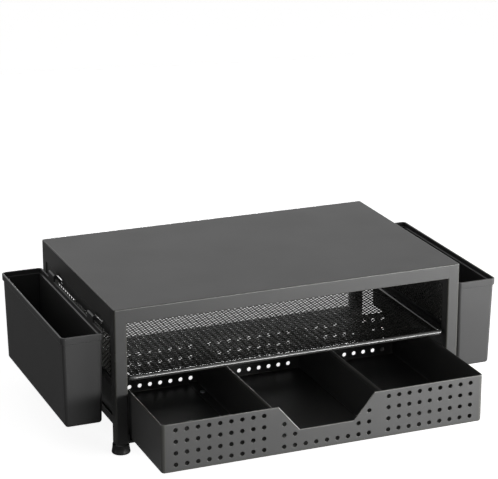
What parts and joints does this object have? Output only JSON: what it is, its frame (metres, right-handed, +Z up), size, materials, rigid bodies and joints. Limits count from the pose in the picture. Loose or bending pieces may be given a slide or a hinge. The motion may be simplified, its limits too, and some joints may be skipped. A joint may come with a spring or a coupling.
{
  "type": "laptop stand with drawer",
  "caption": "Black metal laptop stand with a mesh shelf, a perforated pull-out drawer with dividers, hanging pen holders on both sides and levelling feet.",
  "frame": {"origin": "on the desk, under the middle of the box that the stand fills with its drawer as stored, partly open", "axes": "+Z up, the front faces -Y, +X to the right as seen from the front"},
  "size_m": [0.4692, 0.3264, 0.15],
  "materials": {
    "powder_coated_steel": "matte black powder coat with a fine texture",
    "moulded_abs": "satin black moulding",
    "foot_polymer": "smooth black moulding",
    "zinc_steel": "bright zinc plate"
  },
  "bodies": {
    "frame": {"top_panel": "powder_coated_steel", "leg_front_left": "powder_coated_steel", "leg_front_right": "powder_coated_steel", "leg_rear_left": "powder_coated_steel", "leg_rear_right": "powder_coated_steel", "leg_nuts": "zinc_steel", "corner_brackets": "powder_coated_steel", "corner_screws": "zinc_steel", "panel_nuts": "zinc_steel", "side_mesh_left": "powder_coated_steel", "side_mesh_right": "powder_coated_steel", "side_rail_left": "powder_coated_steel", "side_rail_right": "powder_coated_steel", "drawer_runner_left": "powder_coated_steel", "drawer_runner_right": "powder_coated_steel", "shelf_rim": "powder_coated_steel", "shelf_mesh": "powder_coated_steel", "front_strap": "powder_coated_steel", "rear_stretcher": "powder_coated_steel"},
    "drawer": {"drawer_tray": "powder_coated_steel", "drawer_divider_left": "powder_coated_steel", "drawer_divider_right": "powder_coated_steel", "divider_rivets": "zinc_steel"},
    "holder_left": {"pen_holder_left": "moulded_abs"},
    "holder_right": {"pen_holder_right": "moulded_abs"},
    "foot_front_left": {"foot_front_left": "foot_polymer", "foot_stud_front_left": "zinc_steel"},
    "foot_front_right": {"foot_front_right": "foot_polymer", "foot_stud_front_right": "zinc_steel"},
    "foot_rear_left": {"foot_rear_left": "foot_polymer", "foot_stud_rear_left": "zinc_steel"},
    "foot_rear_right": {"foot_rear_right": "foot_polymer", "foot_stud_rear_right": "zinc_steel"}
  },
  "joints": [
    {"name": "drawer_slide", "type": "slide", "parent": "frame", "child": "drawer", "axis": [0, -1, 0], "range_m": [-0.0855, 0.065]},
    {"name": "holder_left_lift", "type": "slide", "parent": "frame", "child": "holder_left", "axis": [-0.7071, 0, 0.7071], "range_m": [0, 0.12]},
    {"name": "holder_right_lift", "type": "slide", "parent": "frame", "child": "holder_right", "axis": [0.7071, 0, 0.7071], "range_m": [0, 0.12]},
    {"name": "foot_front_left_level", "type": "slide", "parent": "frame", "child": "foot_front_left", "axis": [0, 0, -1], "range_m": [0, 0.006]},
    {"name": "foot_front_right_level", "type": "slide", "parent": "frame", "child": "foot_front_right", "axis": [0, 0, -1], "range_m": [0, 0.006]},
    {"name": "foot_rear_left_level", "type": "slide", "parent": "frame", "child": "foot_rear_left", "axis": [0, 0, -1], "range_m": [0, 0.006]},
    {"name": "foot_rear_right_level", "type": "slide", "parent": "frame", "child": "foot_rear_right", "axis": [0, 0, -1], "range_m": [0, 0.006]}
  ]
}
